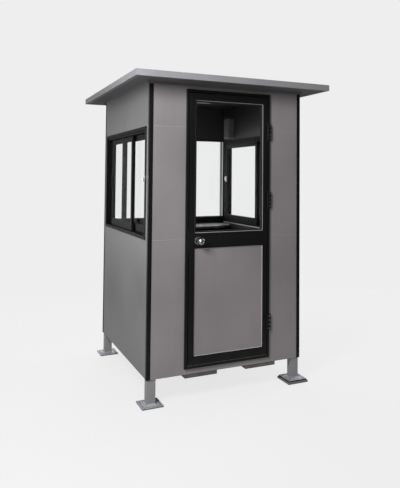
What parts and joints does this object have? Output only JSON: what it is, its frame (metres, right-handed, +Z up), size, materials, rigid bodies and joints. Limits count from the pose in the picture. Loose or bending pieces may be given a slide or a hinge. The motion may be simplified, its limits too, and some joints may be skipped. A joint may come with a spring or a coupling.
{
  "type": "security guard booth",
  "caption": "One-person guard cabin on short legs, with metal sheet cladding, a flat overhanging roof, a half-glazed door and windows in the other walls.",
  "frame": {"origin": "on the ground, in the middle of the plan's bounding box", "axes": "+X right along the front wall as seen from outside, +Y from the front (door) wall to the back, +Z up"},
  "size_m": [1.5, 1.79, 2.27],
  "materials": {
    "deck": "dark sheet flooring on board",
    "frame_steel": "dark grey paint on steel",
    "leg_steel": "galvanised steel",
    "packer_steel": "bare steel plate",
    "post_steel": "dark paint on steel",
    "black_trim": "black powder coat",
    "lining": "dark insulated wall panel with a smooth lining",
    "cladding": "metallic grey composite sheet",
    "roof_core": "dark sandwich panel",
    "roof_edge": "silver coated channel",
    "black_aluminium": "black coated aluminium",
    "pane": "clear float glass",
    "hinge_black": "black coated hinges",
    "stainless": "polished stainless steel",
    "counter_top": "dark laminate",
    "box_plastic": "dark plastic",
    "light_diffuser": "white diffuser"
  },
  "bodies": {
    "cabin": {"floor_deck": "deck", "base_frame": "frame_steel", "underfloor_bearers": "frame_steel", "leg_front_left": "leg_steel", "leg_front_right": "leg_steel", "leg_back_left": "leg_steel", "leg_back_right": "leg_steel", "foot_packer": "packer_steel", "corner_posts": "post_steel", "corner_trims": "black_trim", "front_wall_left": "lining", "front_wall_right": "lining", "front_wall_header": "lining", "left_wall": "lining", "right_wall": "lining", "back_wall": "lining", "front_cladding": "cladding", "left_cladding": "cladding", "right_cladding": "cladding", "back_cladding": "cladding", "door_kick_strip": "cladding", "roof_panel": "roof_core", "roof_edging": "roof_edge", "eaves_trim": "roof_edge", "left_window_frame": "black_aluminium", "left_window_sashes": "black_aluminium", "right_window_frame": "black_aluminium", "right_window_sashes": "black_aluminium", "back_window_frame": "black_aluminium", "back_window_bar": "black_aluminium", "door_frame": "black_aluminium", "left_window_glass": "pane", "right_window_glass": "pane", "back_window_glass": "pane", "hinges_frame": "hinge_black", "counter": "counter_top", "wall_box": "box_plastic", "ceiling_light": "light_diffuser"},
    "door": {"door_leaf": "black_aluminium", "door_glass": "pane", "door_beads": "black_aluminium", "door_panel": "cladding", "hinges_door": "hinge_black", "lock_rosettes": "stainless"},
    "knob": {"door_knob": "stainless"}
  },
  "joints": [
    {"name": "door_swing", "type": "hinge", "parent": "cabin", "child": "door", "pos_m": [0.3115, -0.722, 1.2], "axis": [0, 0, 1], "range_deg": [0, 100]},
    {"name": "knob_turn", "type": "hinge", "parent": "door", "child": "knob", "pos_m": [-0.237, -0.714, 1.1085], "axis": [0, 1, 0], "range_deg": [-60, 60], "stiffness_Nm_per_rad": 0.5}
  ]
}
